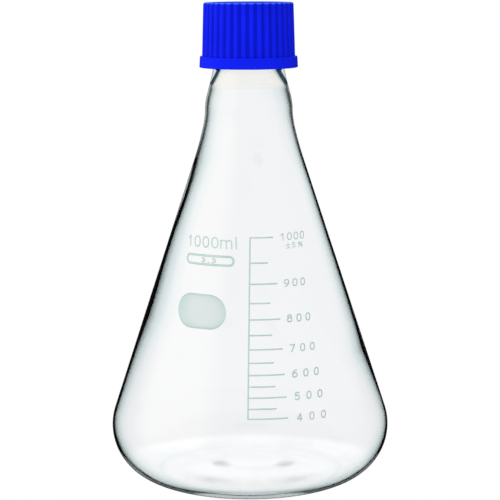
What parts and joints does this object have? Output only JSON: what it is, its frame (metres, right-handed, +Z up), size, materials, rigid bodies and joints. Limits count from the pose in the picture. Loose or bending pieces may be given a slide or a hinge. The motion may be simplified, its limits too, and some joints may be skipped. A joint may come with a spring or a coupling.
{
  "type": "erlenmeyer flask",
  "caption": "Conical glass laboratory flask with a flat base, a narrow threaded neck, a ribbed blue screw cap over a sealing disc, and printed graduations with a marking spot.",
  "frame": {"origin": "centre of the base, on the surface that the flask stands on", "axes": "+Z up along the flask's axis, the graduations face -Y, +X to the right of someone who reads them"},
  "size_m": [0.131, 0.131, 0.224],
  "materials": {
    "glass": "clear, fire polished",
    "enamel": "fired-on enamel, matt",
    "liner": "silicone, matt",
    "cap": "moulded polypropylene, semi-gloss"
  },
  "bodies": {
    "flask": {"flask_body": "glass", "scale_lines": "enamel", "marking_spot": "enamel"},
    "liner": {"cap_liner": "liner"},
    "cap": {"screw_cap": "cap"}
  },
  "joints": [
    {"name": "cap_lift", "type": "slide", "parent": "flask", "child": "liner", "axis": [0, 0, 1], "range_m": [0, 0.036]},
    {"name": "cap_turn", "type": "hinge", "parent": "liner", "child": "cap", "pos_m": [0, 0, 0.209], "axis": [0, 0, 1], "range_deg": [0, 3240]}
  ],
  "couplings": [
    {"joint": "cap_lift", "follows": "cap_turn", "m_per_rad": 0.00063662}
  ]
}
